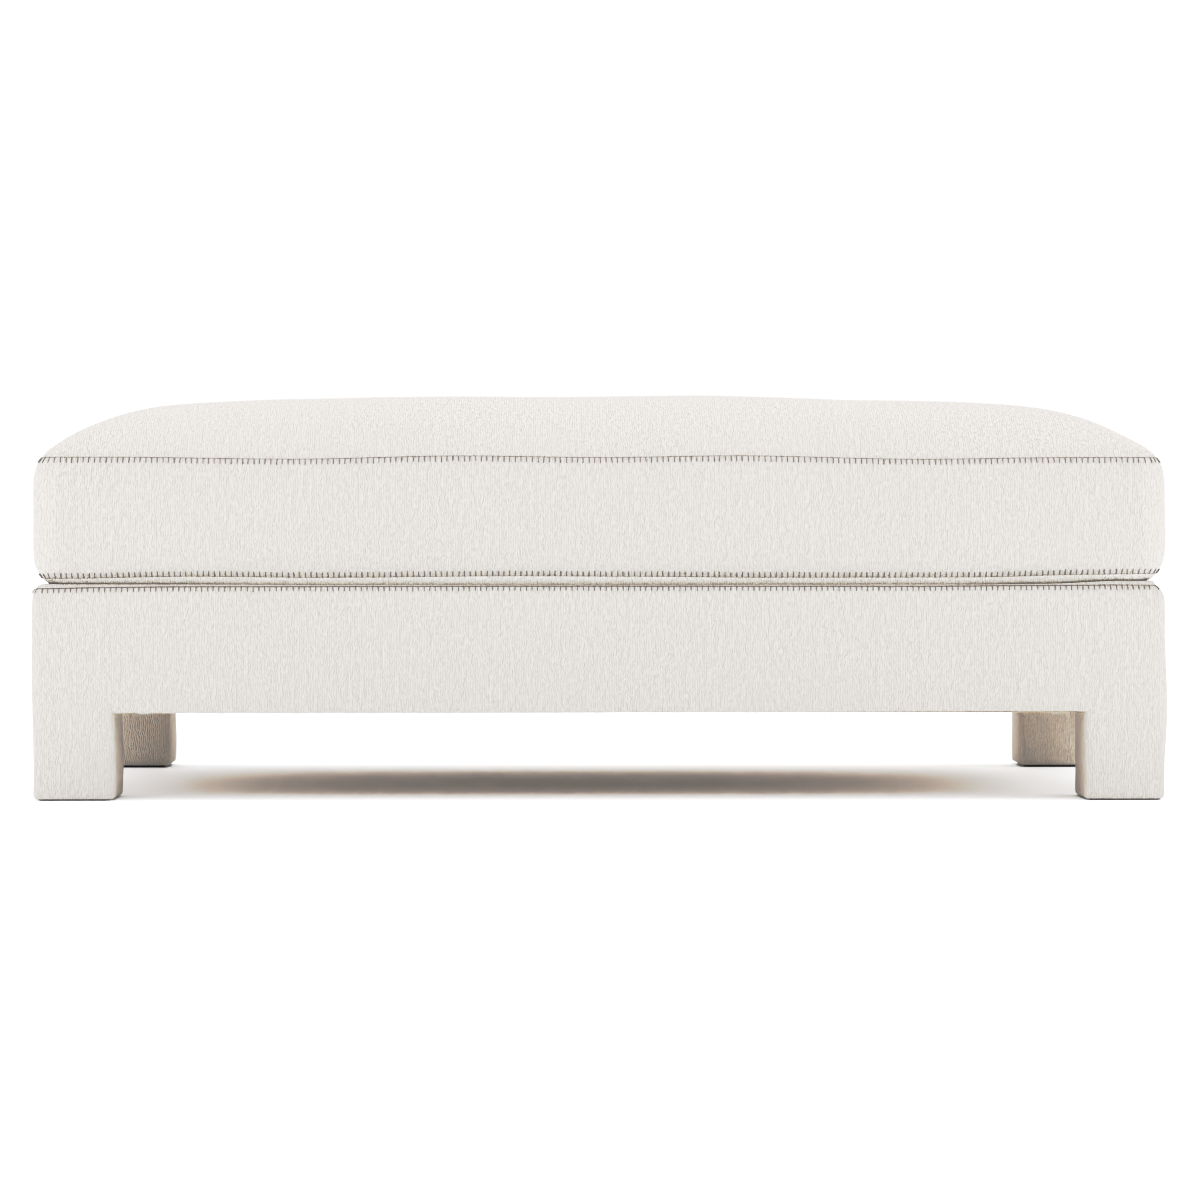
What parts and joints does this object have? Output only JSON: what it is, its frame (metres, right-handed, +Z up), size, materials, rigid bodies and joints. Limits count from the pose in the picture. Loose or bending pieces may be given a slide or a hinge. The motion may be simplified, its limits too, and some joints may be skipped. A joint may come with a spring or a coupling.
{
  "type": "ottoman coffee table",
  "caption": "Low rectangular upholstered ottoman table: a crowned, zipped box cushion with blanket-stitched seams loose on a padded timber base with square covered legs.",
  "frame": {"origin": "on the floor under the middle of the table", "axes": "+X along the length, +Y from the front to the back (the zip is in the back), +Z up"},
  "size_m": [1.376, 0.762, 0.5],
  "materials": {
    "upholstery_fabric": "off-white crêpe weave with short upright slubs",
    "stitch_thread": "twisted grey cotton blanket-stitch thread",
    "frame_timber": "planed hardwood",
    "dowel_timber": "turned beech",
    "jute_webbing": "herringbone jute webbing",
    "hessian_cloth": "open plain-weave hessian",
    "foam": "open-cell polyurethane foam",
    "padding_fibre": "white polyester fibre",
    "dust_cover_cloth": "natural beige cambric lining",
    "glide_plastic": "black moulded nylon",
    "zip_tape_cloth": "off-white woven zip tape",
    "zip_coil_nylon": "off-white nylon coil",
    "zip_metal": "nickel-finished zinc",
    "steel": "zinc-plated steel"
  },
  "bodies": {
    "base": {"leg_post_front_left": "frame_timber", "leg_padding_front_left": "padding_fibre", "glide_front_left": "glide_plastic", "leg_post_front_right": "frame_timber", "leg_padding_front_right": "padding_fibre", "glide_front_right": "glide_plastic", "leg_post_back_left": "frame_timber", "leg_padding_back_left": "padding_fibre", "glide_back_left": "glide_plastic", "leg_post_back_right": "frame_timber", "leg_padding_back_right": "padding_fibre", "glide_back_right": "glide_plastic", "rail_front": "frame_timber", "rail_padding_front": "padding_fibre", "cover_front": "upholstery_fabric", "rail_back": "frame_timber", "rail_padding_back": "padding_fibre", "cover_back": "upholstery_fabric", "rail_left": "frame_timber", "rail_padding_left": "padding_fibre", "cover_left": "upholstery_fabric", "rail_right": "frame_timber", "rail_padding_right": "padding_fibre", "cover_right": "upholstery_fabric", "cross_rail_left": "frame_timber", "cross_rail_right": "frame_timber", "frame_dowels": "dowel_timber", "glue_blocks": "frame_timber", "webbing_lengthwise": "jute_webbing", "webbing_crosswise": "jute_webbing", "webbing_tacks": "steel", "hessian": "hessian_cloth", "deck_pad": "padding_fibre", "deck_cloth": "upholstery_fabric", "dust_cover": "dust_cover_cloth", "dust_cover_staples": "steel", "glide_screws": "steel", "base_edge_thread": "stitch_thread"},
    "cushion": {"cushion_core": "foam", "cushion_top_wrap": "padding_fibre", "cushion_bottom_wrap": "padding_fibre", "cushion_top_panel": "upholstery_fabric", "cushion_bottom_panel": "upholstery_fabric", "boxing_front_and_sides": "upholstery_fabric", "boxing_back_upper": "upholstery_fabric", "boxing_back_lower": "upholstery_fabric", "zip_tapes": "zip_tape_cloth", "zip_coils": "zip_coil_nylon", "zip_stops": "zip_metal", "top_seam_thread": "stitch_thread", "bottom_seam_thread": "stitch_thread"},
    "zip_slider": {"zip_slider": "zip_metal"},
    "zip_pull": {"zip_pull": "zip_metal"}
  },
  "joints": [
    {"name": "cushion_lift", "type": "slide", "parent": "base", "child": "cushion", "axis": [0, 0, 1], "range_m": [0, 0.3]},
    {"name": "zip_slide", "type": "slide", "parent": "cushion", "child": "zip_slider", "axis": [-1, 0, 0], "range_m": [0, 0.95]},
    {"name": "zip_pull_hinge", "type": "hinge", "parent": "zip_slider", "child": "zip_pull", "pos_m": [0.475, 0.3789, 0.34065], "axis": [0, 0, -1], "range_deg": [0, 180]}
  ]
}
